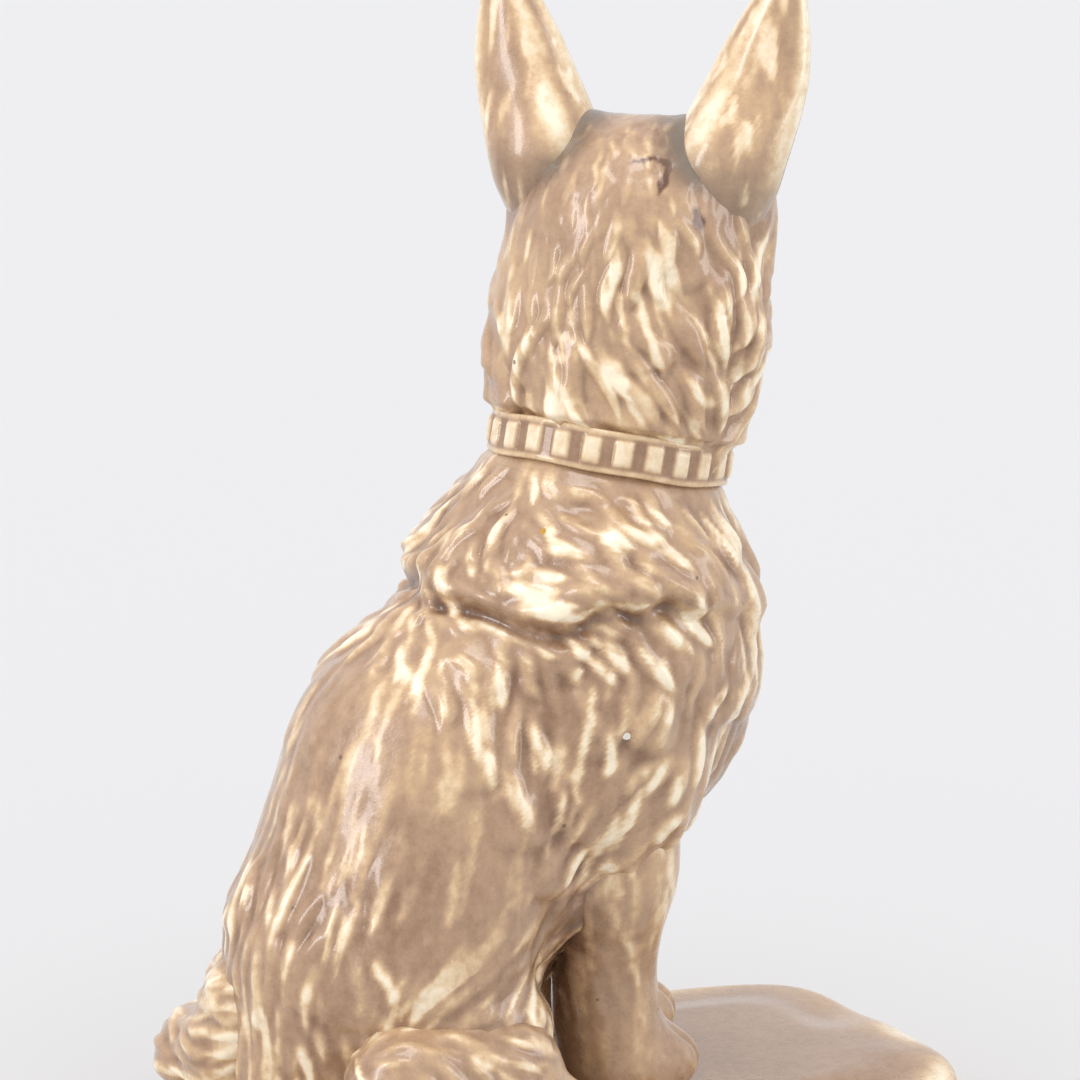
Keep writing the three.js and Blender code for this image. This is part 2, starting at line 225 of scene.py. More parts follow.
def melt(k, *distances):
    """Soft minimum: the least distance less k times the log of the sum of exp((least - d) / k)."""
    d = np.stack(distances)
    least = d.min(0)
    return least - k * np.log(np.exp((least - d) / k).sum(0))


def pair(p):
    """The point folded onto the +x side, so that one lump stands for left and right."""
    return np.concatenate([np.abs(p[..., :1]), p[..., 1:]], -1)


def ramp(low, high, x):
    """0 below low, 1 above high, and a smooth cubic between."""
    t = np.clip((x - low) / (high - low), 0, 1)
    return t * t * (3 - 2 * t)


print("an egg of 10 mm is", egg(np.array([0.0, 0, 12]), (0, 0, 0), (10, 10, 10)), "mm from a point at 12")

# %% [markdown]
# ## From clay to skin
#
# A surface of two parameters is wanted: how far along a path inside the clay, and how far round it.
# From each point of the path a ray goes out, and the skin is where the ray leaves the clay. The first
# and the last rings open like a fan and close in a pole, so a piece is always a closed body. Solving
# for all rays at once takes about twenty short steps of whole arrays.

# %% Rays that stop at the skin
def curve(knots, places):
    """Catmull-Rom curve through the knots, at the given fractions of its length, with its tangents."""
    knots = np.array(knots, float)
    ends = np.concatenate([[2 * knots[0] - knots[1]], knots, [2 * knots[-1] - knots[-2]]])
    t = np.linspace(0, 1, 41)[:, None]
    spans = [
        0.5 * (2 * b + (c - a) * t + (2 * a - 5 * b + 4 * c - d) * t**2 + (3 * b - a - 3 * c + d) * t**3)
        for a, b, c, d in zip(ends, ends[1:], ends[2:], ends[3:])
    ]
    dense = np.concatenate([span[:-1] for span in spans] + [spans[-1][-1:]])
    run = np.concatenate([[0], np.cumsum(np.linalg.norm(np.diff(dense, axis=0), axis=1))])
    at = np.stack([np.interp(places * run[-1], run, dense[:, i]) for i in range(3)], -1)
    slope = np.stack([np.interp(places * run[-1], run, np.gradient(dense[:, i], run)) for i in range(3)], -1)
    return at, unit(slope)


def reach(clay, start, ray):
    """How far each ray goes: it steps on by the distance left, back if it is outside, until it rests."""
    far = np.zeros(start.shape[:-1])
    for step in range(22):
        left = clay(start + ray * far[..., None])
        far = np.maximum(far - np.clip(left, -8, 8) * (1.0 if step < 16 else 1.6), 0)
    return far


def slope_of(clay, p, step=0.15):
    """Outward normal: the unit vector of the clay's differences along x, y and z."""
    sides = [clay(p + step * e) - clay(p - step * e) for e in np.eye(3)]
    return unit(np.stack(sides, -1))


def skin(clay, knots, along, around, fans, sideways=(1, 0, 0), crowd=None):
    """Grid of skin points, and the two poles. Row = place on the path, or the tilt of a fan at its ends."""
    start_fan, end_fan = fans
    tilt = np.radians(np.concatenate([
        np.linspace(-90, 0, start_fan + 2)[1:-1], np.zeros(along), np.linspace(0, 90, end_fan + 2)[1:-1]]))
    place = np.concatenate([np.zeros(start_fan), np.linspace(0, 1, along), np.ones(end_fan)])
    centre, forward = curve(knots, place)
    across = unit(np.array(sideways) - (forward @ np.array(sideways))[:, None] * forward)
    upward = np.cross(forward, across)
    angle = np.linspace(0, 2 * np.pi, around, endpoint=False)
    if crowd is not None:
        angle = angle - crowd[1] * np.sin(angle - crowd[0])
    ring = np.cos(angle)[None, :, None] * across[:, None] + np.sin(angle)[None, :, None] * upward[:, None]
    ray = ring * np.cos(tilt)[:, None, None] + forward[:, None] * np.sin(tilt)[:, None, None]
    start = np.broadcast_to(centre[:, None], ray.shape)
    poles = np.stack([centre[0], centre[-1]])
    pole_rays = np.stack([-forward[0], forward[-1]])
    points = np.concatenate([start.reshape(-1, 3), poles])
    rays = np.concatenate([ray.reshape(-1, 3), pole_rays])
    return points + rays * reach(clay, points, rays)[:, None], ray.shape[:2]


def skin_faces(shape):
    """Quads between the rings, and a fan of triangles from each pole."""
    rows, cols = shape
    ring = np.arange(cols)
    nxt = np.roll(ring, -1)
    south = np.stack([np.full(cols, rows * cols), nxt, ring], -1)
    top = (rows - 1) * cols
    north = np.stack([np.full(cols, rows * cols + 1), top + ring, top + nxt], -1)
    return [grid_faces(rows, cols), south, north]


def clay_piece(name, points, shape, facts):
    """A closed body from a skin, turned face out by its signed volume, with its facts on the points."""
    faces = skin_faces(shape)
    tri = np.concatenate([faces[0][:, [0, 1, 2]], faces[0][:, [0, 2, 3]], faces[1], faces[2]])
    a, b, c = (points[tri[:, i]] for i in range(3))
    volume = np.einsum("ij,ij->i", a, np.cross(b, c)).sum() / 6
    if volume < 0:
        faces = [f[:, ::-1] for f in faces]
    made = make_object(name, to_metres(points), faces)
    for fact, values in facts.items():
        made.data.attributes.new(fact, "FLOAT", "POINT").data.foreach_set("value", values.astype(np.float32))
    print(f"{name}: {len(points)} points, {len(tri)} triangles, {abs(volume) / 1000:.0f} cm3")
    return made


# %% [markdown]
# ## The dog's masses
#
# These are the lumps of the seated dog, the same ones that the CAD solids were lofted from: chest, ribs
# and loin along the sloping back, shoulders, thighs, neck, skull, cheeks and muzzle. The head is built
# looking straight ahead and is then turned to the dog's left and tipped down a little.

# %% Trunk
COLLAR_AT = np.array([1.0, -9.8, 128.0])
NECK_AXIS = unit(np.array([0.066, -0.215, 0.974]))


def along_neck(p):
    """Height above the middle of the collar, measured up the neck."""
    return (p - COLLAR_AT) @ NECK_AXIS


def below_strap(p):
    """A funnel round the neck, 22.4 mm wide at the strap and flaring above and below it: negative inside."""
    up = along_neck(p)
    off = p - COLLAR_AT - up[..., None] * NECK_AXIS
    return np.linalg.norm(off, axis=-1) - 22.4 - 1.05 * np.maximum(np.abs(up) - 3.6, 0)


def cut_soft(k, a, b):
    """Soft maximum: what is inside both a and b, with the meeting edge rounded by k."""
    return -melt(k, -a, -b)


def trunk(p):
    """Chest, ribs, loin, seat, withers, neck root, shoulders, and the thighs as a pair."""
    q = pair(p)
    haunch = egg(q, (21, 40, 40), (14, 19, 27), turned(4, 20))
    thigh = melt(3.5, haunch, limb(q, (27, 36, 24), 10, (28, 28, 22), 8))
    return melt(
        4.0,
        egg(p, (0, -7.5, 93), (30.5, 28, 31), turned(pitch=-14)),
        egg(p, (1, -19.5, 79), (18.5, 13.5, 24), turned(pitch=-4)),
        limb(p, (0, -1, 97), 27.5, (0, 27.5, 66), 28.5),
        limb(p, (0, 27.5, 66), 28.5, (0, 44, 34), 27),
        limb(p, (0, 50, 26), 18, (0, 54, 12), 17),
        limb(p, (0, 6, 62), 20, (0, 24, 38), 19),
        egg(p, (0, 3.5, 107), (25, 18, 14), turned(pitch=-30)),
        limb(p, (0, -5, 108), 25, (2, -12, 140), 19.6),
        egg(p, (-20, 2, 80), (14, 17, 27), turned(pitch=-10)),
        egg(p, (20, -4, 80), (14, 17, 27), turned(pitch=-10)),
        limb(p, (-16.5, 1.5, 66), 14, (-16, 2, 50), 12),
        limb(p, (16.5, -8, 66), 14, (16, -8, 50), 12),
        thigh,
    )


# %% Head
HEAD_AT = np.array([4.0, -18.0, 163.0])
HEAD_TURN = turned(47, 6)


def in_head(p):
    """Dog frame to the head's own frame, where the nose is along -y."""
    return (p - HEAD_AT) @ HEAD_TURN


def out_of_head(h):
    """Head's own frame back to the dog frame."""
    return h @ HEAD_TURN.T + HEAD_AT


def head_clay(p):
    """Skull, cheeks, nape, muzzle, jaw, brows and ear roots, melted with the neck."""
    h = in_head(p)
    q = pair(h)
    bone = melt(
        3.0,
        egg(q, (0, 3, 6), (23, 23, 23)),
        egg(q, (14, 5, -10), (12.5, 14.5, 18)),
        egg(q, (0, 10, -14), (21, 15, 20)),
        limb(q, (0, -16, -4), 11, (0, -41, -8), 7),
        limb(q, (0, -14, -13), 7, (0, -36, -14.5), 4.2),
        egg(q, (8, -14, 6), (7, 8, 6)),
        limb(q, (10, 4, 18.5), 7, (12.5, 4, 25), 3.5),
        egg(q, (18, -1, 12), (7.5, 8, 10)),
    )
    neck = limb(p, (1, -8.5, 112), 21.2, (2.5, -13.5, 146), 22.5)
    return melt(3.0, bone, neck)


print("nose tip at", np.round(out_of_head(np.array([0, -48.0, -8])), 1))

# %% [markdown]
# ## Combing the fur
#
# The modeller of such a figurine works the coat in tufts: each is a pointed leaf that rises from its
# root, bends a little, and ends in a step over the next one. A bump texture gives no such overlap, so
# every tuft is really raised here. Guides, placed round the dog, say which way the hair lies
# near them. Seeds are strewn over the skin, closer together across the hair than along it, and each
# seed lifts the points under its leaf. Points remember how near a crest they are, for the glaze.

# %% Hair direction
def combed(p, normal, guides):
    """Sum of the guides' directions, each weighted by exp(-(distance / reach) squared), laid on the skin."""
    lie = np.zeros_like(p)
    for place, way, reach_mm in guides:
        weight = np.exp(-(((p - np.array(place)) ** 2).sum(-1)) / reach_mm**2) + 1e-9
        lie += weight[:, None] * unit(np.array(way, float))
    return unit(lie - (lie * normal).sum(-1, keepdims=True) * normal)


def strew(p, lie, spacing, count, seed):
    """Seeds kept apart: a candidate stays if no earlier seed is within its oval, long along the hair."""
    rng = np.random.default_rng(seed)
    chosen = []
    kept = np.zeros((0, 3))
    for i in rng.integers(0, len(p), count):
        if len(kept):
            off = kept - p[i]
            along = off @ lie[i]
            away2 = (off**2).sum(-1) - along**2
            if (away2 / spacing[i, 1] ** 2 + along**2 / spacing[i, 0] ** 2 < 1).any():
                continue
        chosen.append(i)
        kept = np.concatenate([kept, p[i : i + 1]])
    return np.array(chosen)


def tufts(p, normal, lie, seeds, length, width, height, seed, sway=0.3, blunt=False):
    """Leaf-shaped lifts. Across a leaf the lift is a dome; along it, it rises from the root and drops at
    the tip. A leaf's middle line bends and waves, and neighbours bend alike. The top leaf gives the crest."""
    rng = np.random.default_rng(seed)
    order = np.argsort(p[:, 2])
    z = p[order, 2]
    lift = np.zeros(len(p))
    crest = np.zeros(len(p))
    drift = np.sin(p @ np.array([0.10, 0.13, 0.12]) + seed)
    for i in seeds:
        size = rng.uniform(0.7, 1.3)
        long, wide = length[i] * size, width[i] * rng.uniform(0.75, 1.25)
        bend = sway * (drift[i] + 0.5 * rng.normal())
        wave = sway * (0.8 * drift[i] + 0.5 * rng.normal())
        tall, shine = height[i] * rng.uniform(0.6, 1.25), ramp(0.05, 0.85, rng.uniform())
        low, high = np.searchsorted(z, [p[i, 2] - long * 0.6, p[i, 2] + long * 0.6])
        near = order[low:high]
        off = p[near] - p[i]
        near = near[((off**2).sum(-1) < (long * 0.6) ** 2) & (normal[near] @ normal[i] > 0.1)]
        off = p[near] - p[i]
        ahead = unit(lie[i] + 0.1 * rng.normal(0, 1, 3))
        s = off @ ahead / (long / 2)
        t = off @ np.cross(normal[i], ahead) - wide * (bend * (s**2 - 0.3) + wave * np.sin(np.pi * s))
        if blunt:
            taper = (1 - np.clip(np.abs(s), 0, 1) ** 5) ** 0.5
            rise = ramp(-1.0, 0.5, s) * (1 - ramp(0.86, 1.02, s))
        else:
            taper = np.maximum(1 - s**2, 0) ** 0.85
            rise = ramp(-1.0, 0.1, s) * (1 - 0.7 * ramp(0.6, 1.0, s))
        dome = np.maximum(1 - (t / (wide / 2 * taper + 1e-3)) ** 2, 0)
        grown = tall * dome**0.8 * rise
        top = grown > lift[near]
        crest[near] = np.where(top, shine * ramp(0.15, 1.1, dome * rise), crest[near])
        lift[near] = np.maximum(lift[near], grown)
    return lift, crest


LATTICE = 4096  # random numbers in a cloud's table, a power of two


def cloud(p, grain, seed):
    """Random numbers from 0 to 1 on a cubic lattice of the given grain in mm, blended by smooth cubics."""
    table = np.random.default_rng(seed).uniform(0, 1, LATTICE)
    cell = np.floor(p / grain).astype(np.int64)
    part = ramp(0, 1, p / grain - cell)
    total = np.zeros(len(p))
    for corner in np.ndindex(2, 2, 2):
        x, y, z = (cell + np.array(corner)).T
        share = np.where(corner, part, 1 - part).prod(1)
        total += table[(x * 73856093 ^ y * 19349663 ^ z * 83492791) & (LATTICE - 1)] * share
    return total


def strands(p, lie, grain, long, seed):
    """Streaks along the hair: the cloud's mean over a stretch that long, spread back over 0 to 1."""
    mean = sum(cloud(p + step * long * lie, grain, seed) for step in np.linspace(-0.5, 0.5, 11)) / 11
    return np.clip(0.5 + (mean - mean.mean()) / (4 * mean.std()), 0, 1)


def softened(values, shape, times):
    """Grid values averaged with their four neighbours, several times over; poles keep their value."""
    grid = values[: shape[0] * shape[1]].reshape(shape).copy()
    for _ in range(times):
        up = np.concatenate([grid[:1], grid[:-1]])
        down = np.concatenate([grid[1:], grid[-1:]])
        grid = (grid * 2 + up + down + np.roll(grid, 1, 1) + np.roll(grid, -1, 1)) / 6
    return np.concatenate([grid.ravel(), values[shape[0] * shape[1] :]])


def furred(name, clay, points, shape, guides, coat, seed, form=None, sway=0.3):
    """Lays broad clumps, the locks on them and fine strands over all, moves the points out, and records the
    facts that the glaze needs: crest, and how far a point stands above or below the skin around it."""
    normal = slope_of(clay, points)
    if form is not None:
        points = points + normal * form(points)[:, None]
    lie = combed(points, normal, guides)
    length, width, height, show = coat(points)
    spacing = np.stack([length * 0.6, width * 0.88], -1)
    seeds = strew(points, lie, spacing, 9000, seed)
    locks, crest = tufts(points, normal, lie, seeds, length, width, height, seed + 1, sway)
    wide_apart = np.stack([length * 0.95, width * 2.3], -1)
    big = strew(points, lie, wide_apart, 2500, seed + 2)
    clump_size = (length * 1.7, width * 3.9, height * 1.6)
    masses, _ = tufts(points, normal, lie, big, *clump_size, seed + 3, 0.1, True)
    fine = strands(points, lie, 1.7, 11.0, seed + 4)
    broad = strands(points, lie, 4.2, 24.0, seed + 5)
    scratches = (fine - 0.5) * (0.1 + 0.2 * height)
    lift = softened(locks, shape, 1) + softened(masses, shape, 3) - 0.8 * height + scratches
    above = lift - softened(lift, shape, 24)
    hollow = np.clip(-above / 0.9, 0, 1)
    proud = 0.85 + 0.35 * np.clip(above / 0.8, -1, 1)
    crest = softened(crest, shape, 1) * proud * (0.32 + 0.95 * ramp(0.34, 0.66, fine))
    streak = ramp(0.56, 0.9, 0.6 * fine + 0.4 * broad)
    crest = np.clip(np.maximum(crest, 0.75 * streak) * show, 0, 1)
    print(f"{name}: {len(seeds)} locks on {len(big)} clumps, lift up to {lift.max():.1f} mm")
    return points + normal * lift[:, None], {"crest": crest, "hollow": hollow, "show": show}


def clear_of_collar(p):
    """Hair lies flat beside the strap: 0 under it, 1 from 9 mm away."""
    return ramp(5.0, 9.5, np.abs(along_neck(p)))


# %% [markdown]
# ## Body
#
# The body casting carries most of the coat: a cape that lies over the shoulders and ends in a ragged
# step, a shaggy mane that hangs from it to the elbows, a nearly smooth flank, and streaky thighs. The
# cape is a slow swelling of the skin that ends at a wavy line in a roll with a groove under it, and the
# tufts break its edge up.

# %% Guides for the body's hair
one_side = [
    ((-20, 1, 118), (-0.25, -0.7, -0.66), 14),
    ((-8, 26, 118), (-0.2, 0.6, -0.75), 13),
    ((-22, 20, 105), (-0.4, -0.9, -0.12), 10),
    ((-10, 27, 106), (-0.85, -0.45, -0.15), 8),
    ((-28, -2, 106), (-0.05, -0.75, -0.6), 10),
    ((-28, -13, 94), (0.0, -0.3, -0.95), 12),
    ((-28, 10, 68), (0.0, 0.38, -0.92), 16),
    ((-27, 33, 80), (0.0, -0.17, -0.98), 15),
    ((-28, -14, 80), (0.1, 0.33, -0.94), 16),
    ((-14, 52, 68), (0.0, 0.25, -0.97), 18),
    ((-28, 46, 56), (0.0, 0.45, -0.9), 12),
    ((-33, 35, 35), (0.0, 0.83, -0.5), 11),
    ((-32, 24, 30), (0.0, 0.7, -0.7), 9),
    ((-14, 68, 34), (0.0, 0.05, -1.0), 16),
    ((-12, -34, 90), (0.1, 0.1, -1.0), 18),
    ((-8, -34, 66), (0.2, 0.2, -1.0), 14),
    ((0, 20, 112), (0.0, 0.7, -0.7), 10),
]
body_guides = one_side + [((-x, y, z), (-u, v, w), r) for (x, y, z), (u, v, w), r in one_side]
print(len(body_guides), "guides")


# %% Form and coat of the body
def ledge_height(p):
    """Height of the cape's edge: about 103 mm, in waves, and lower on the chest."""
    front = ramp(-8, -34, p[:, 1])
    return 104 + 1.6 * np.sin(0.21 * p[:, 1] + 1.0) + 1.2 * np.sin(0.5 * p[:, 1] - 0.3 * p[:, 0]) - 9 * front


def body_form(p):
    """Cape: swells from the collar to a roll along its edge, over a groove. Then mane and thigh crease."""
    edge = ledge_height(p)
    above = p[:, 2] - edge
    swell = 2.8 - 0.8 * ramp(14, 24, p[:, 1]) - 1.6 * ramp(-12, -24, p[:, 1])
    cape = swell * ramp(20, 2, above) * ramp(-1.4, 1.0, above)
    over = np.exp(-(((above - 2.8) / 2.4) ** 2))
    under = np.exp(-(((above + 2.3) / 1.7) ** 2))
    roll = (1.5 - 0.8 * ramp(18, 28, p[:, 1])) * over - 1.2 * under
    cape = cape + roll * ramp(-14, -2, p[:, 1])
    mane = 0.9 * ramp(50, 62, p[:, 2]) * ramp(edge, edge - 14, p[:, 2]) * ramp(26, 4, p[:, 1])
    ring = egg(pair(p), (22, 40, 38), (16, 21, 29), turned(4, 20))
    groove = -1.3 * np.exp(-((ring / 2.2) ** 2)) * ramp(60, 36, p[:, 2]) * ramp(12, 20, np.abs(p[:, 0]))
    return cape + mane + groove


def body_coat(p):
    """Length, width, height and cream of the locks: bold on cape, mane and chest, faint on the flank."""
    x, y, z = np.abs(p[:, 0]), p[:, 1], p[:, 2]
    mane_end = 18 + 0.72 * (z - 52)
    rear = 20 * ramp(40, 60, y)
    flank = ramp(-5, 5, y - mane_end) * ramp(30 + rear, 46 + rear, z)
    flank = flank * ramp(106, 98, z) * (0.75 + 0.25 * ramp(3, 14, x))
    haunch = ramp(18, 30, y) * ramp(54, 42, z)
    cape = ramp(100, 108, z)
    edge = np.exp(-(((z - ledge_height(p) - 2.5) / 2.5) ** 2))
    length = 16 + 6 * flank - 2 * cape
    width = 4.1 + 0.4 * flank - 0.5 * haunch - 0.6 * cape
    height = (0.95 * (1 - 0.9 * flank) * (1 - 0.55 * haunch) - 0.1 * cape) * clear_of_collar(p)
    show = (1 - 0.6 * flank - 0.1 * haunch + 0.2 * edge) * (0.4 + 0.6 * clear_of_collar(p))
    return length, width, height, show


def shade_behind_elbow(p):
    """Painted shade deep in the fold between foreleg and belly: a tall bell curve on each side."""
    off = (pair(p) - np.array([17, 13, 34])) / np.array([13, 5, 17])
    return 1.5 * np.exp(-((off**2).sum(-1)))


def body_clay(p):
    """The trunk, stopped by a flat cut inside the collar."""
    return np.maximum(cut_soft(1.2, trunk(p), below_strap(p)), along_neck(p) - 3.4)


body_path = [(0, 46, 6), (0, 38, 44), (0, 10, 88), (1, -7, 116), (1.4, -9.6, 129)]
body_points, body_shape = skin(body_clay, body_path, 215, 320, (26, 24))
body_points, body_facts = furred(
    "body", trunk, body_points, body_shape, body_guides, body_coat, 11, body_form
)
# Painted shadow: a band of darker tone just under the cape's ledge, except on the chest.
from_ledge = body_points[:, 2] - ledge_height(body_points) + 1.8
shadow_under_ledge = np.exp(-((from_ledge / 1.5) ** 2)) * ramp(-14, -2, body_points[:, 1])
# Painted shade: the tone darkens towards the bottom of the body, from 84 mm down to 40 mm.
shade_low_down = 0.24 * ramp(84, 40, body_points[:, 2])
body_facts["hollow"] = body_facts["hollow"] + shade_behind_elbow(body_points) + 0.8 * shadow_under_ledge + shade_low_down
body = clay_piece("body_casting", body_points, body_shape, body_facts)

# %% [markdown]
# ## Head
#
# The skull, cheeks and neck make one skin round a path up the neck. More rays point at the muzzle than
# at the back of the head, because the muzzle stands far out. The eye sockets, the line of the mouth and
# the stop between the brows are dents and ridges in the form; the hair runs back from the nose over the
# crown and fans out over the nape and cheeks.

# %% Chips and cracks, in the head's own frame
CHIPS = [  # x, z of its middle, the way it runs there, half length and half width in mm
    ((-9.4, 18.1), (0.2, -1.0), 2.8, 0.8),
    ((-8.6, 21.2), (-0.9, -0.35), 2.3, 0.5),
    ((-16.0, 10.7), (-0.3, -1.0), 2.2, 0.8),
    ((-5.0, 21.5), (-1.0, 0.2), 2.4, 0.35),
]


def chipped(h):
    """1 inside a chip on the back of the head, 0 outside: an oval whose edge wanders with two short waves."""
    worst = np.zeros(len(h))
    for place, way, long, wide in CHIPS:
        off = h[:, [0, 2]] - np.array(place)
        ahead = unit(np.array(way))
        along, beside = off @ ahead, off @ np.array([-ahead[1], ahead[0]])
        edge = wide * (1 + 0.3 * np.sin(1.9 * along))
        worst = np.maximum(worst, ramp(1.35, 0.75, np.hypot(along / long, beside / edge)))
    return worst * ramp(0, 4, h[:, 1])


# %% Guides for the head's hair, in the head's own frame
head_hair = [
    ((0, -12, 22), (0, 1, 0.35), 9),
    ((0, 4, 26), (0, 1, -0.15), 8),
    ((0, 20, 16), (0.0, 0.45, -0.9), 9),
    ((-10, 16, 16), (-0.5, 0.5, -0.7), 9),
    ((10, 16, 16), (0.5, 0.5, -0.7), 9),
    ((-12, 22, 0), (-0.42, 0.1, -0.9), 10),
    ((12, 22, 0), (0.3, 0.1, -0.95), 10),
    ((0, 25, -4), (-0.12, 0.0, -1.0), 9),
    ((-18, 18, -16), (-0.55, 0.0, -0.83), 9),
    ((-4, 24, -20), (-0.6, 0.0, -0.8), 9),
    ((14, 20, -18), (-0.35, 0.0, -0.94), 9),
    ((-27, 8, -4), (-0.25, 0.5, -0.83), 9),
    ((27, 8, -4), (0.25, 0.5, -0.83), 9),
    ((-26, 4, -20), (0.35, 0.6, -0.75), 9),
    ((26, 4, -20), (-0.1, 0.6, -0.8), 9),
    ((-14, -14, -8), (-0.4, 0.85, -0.3), 8),
    ((14, -14, -8), (0.4, 0.85, -0.3), 8),
    ((0, -34, -2), (0, 1, 0.1), 10),
    ((0, -20, -20), (0, 0.7, -0.7), 10),
    ((0, -12, -34), (0, 0.1, -1), 12),
]
head_guides = [
    (out_of_head(np.array(at, float)), HEAD_TURN @ np.array(way, float), r) for at, way, r in head_hair
]
toward_nose = HEAD_TURN @ np.array([0.0, -1.0, 0.0])
EYE_DEPTH = reach(head_clay, out_of_head(np.array([[10.4, 0, 4.6]])), toward_nose[None])[0]
EYE = np.array([10.4, 0.6 - EYE_DEPTH, 4.6])
print(len(head_guides), "guides; the eyes lie", round(float(EYE_DEPTH), 1), "mm ahead of mid-skull")


# %% Form and coat of the head
def near(q, place, spread):
    """Bell curve round a place: exp(-(distance / spread) squared)."""
    return np.exp(-((((q - np.array(place)) / np.array(spread)) ** 2).sum(-1)))


def head_form(p):
    """Ruff over the collar, sockets for the eyes with lids above and below, mouth line, chin and stop."""
    h = in_head(p)
    q = pair(h)
    up = along_neck(p)
    behind = ramp(-10, 6, h[:, 1])
    ruff = 1.2 * ramp(4.6, 6.4, up) * ramp(22, 10, up) * (0.35 + 0.65 * behind)
    socket = -2.2 * near(q, EYE + [0.4, 0, -0.2], (4.0, 6, 2.6))
    upper_lid = 1.6 * near(q, EYE + [0.3, 0, 3.0], (4.6, 5, 1.3))
    lid = upper_lid + 0.9 * near(q, EYE + [0.3, 0, -3.1], (4.0, 5, 1.1))
    lips = -12.0 - 0.10 * (h[:, 1] + 30) + 0.012 * (h[:, 1] + 30) ** 2
    mouth = -1.1 * np.exp(-(((h[:, 2] - lips) / 0.8) ** 2)) * ramp(-15, -20, h[:, 1])
    flews = 0.5 * np.exp(-(((h[:, 2] - lips - 2.4) / 2.2) ** 2)) * ramp(-18, -26, h[:, 1])
    stop = -0.8 * near(h, (0, -20, 8), (3, 6, 7))
    return ruff + socket + lid + mouth + flews + stop


def head_coat(p):
    """Nothing on the muzzle, faint short streaks on the crown, bold long locks on nape and cheeks."""
    h = in_head(p)
    back = ramp(-16, 4, h[:, 1])
    low = ramp(14, 1, h[:, 2])
    upper_left = ramp(-6, 5, h[:, 0] + 0.3 * h[:, 2])
    low = low * (1 - 0.75 * upper_left * ramp(-22, -4, h[:, 2]))
    length = 9 + 12 * low * back
    width = 2.6 + 2.3 * low * back
    height = (0.06 + 0.08 * back + 1.25 * back * low) * clear_of_collar(p)
    show = 0.15 + 0.3 * back + 0.55 * back * low
    return length, width, height, show


def head_shape(p):
    """The head's clay, stopped by a flat cut inside the collar."""
    return np.maximum(cut_soft(1.2, head_clay(p), below_strap(p)), -3.2 - along_neck(p))


crown = out_of_head(np.array([0, 3.0, 4]))
nose_angle = np.arctan2(toward_nose[1], toward_nose[0])
head_path = [(1.1, -10.2, 127), (2.5, -13, 142), tuple(crown)]
head_points, head_grid = skin(head_shape, head_path, 96, 360, (12, 66), crowd=(nose_angle, -0.45))
head_points, head_facts = furred(
    "head", head_clay, head_points, head_grid, head_guides, head_coat, 23, head_form, 0.42
)
head_facts["chip"] = chipped(in_head(head_points))
head = clay_piece("head_casting", head_points, head_grid, head_facts)

# %% [markdown]
# ## Ears
#
# A shepherd's ear is a leaf rolled into a shallow scoop that opens forwards and a little outwards. Its
# back is smooth here, with only long soft ridges. One parameter climbs the ear, the other goes round
# its crescent section, which is thin at the rim and thickens where it meets the skull.

# %% Ear surface
EAR_LINE = np.array([  # height, middle x and y, half width
    (4, 18, 3.5, 3), (9, 17.8, 4, 7.5), (15, 17.8, 4.6, 10.4), (22, 18.4, 4.3, 11.7), (30, 20.8, 3.6, 11.4),
    (37, 23.2, 3.2, 10.2), (44, 24.9, 3, 8.5), (52, 26.8, 3, 5.6), (58, 28, 3, 3), (61.4, 28.6, 3, 0.9)])


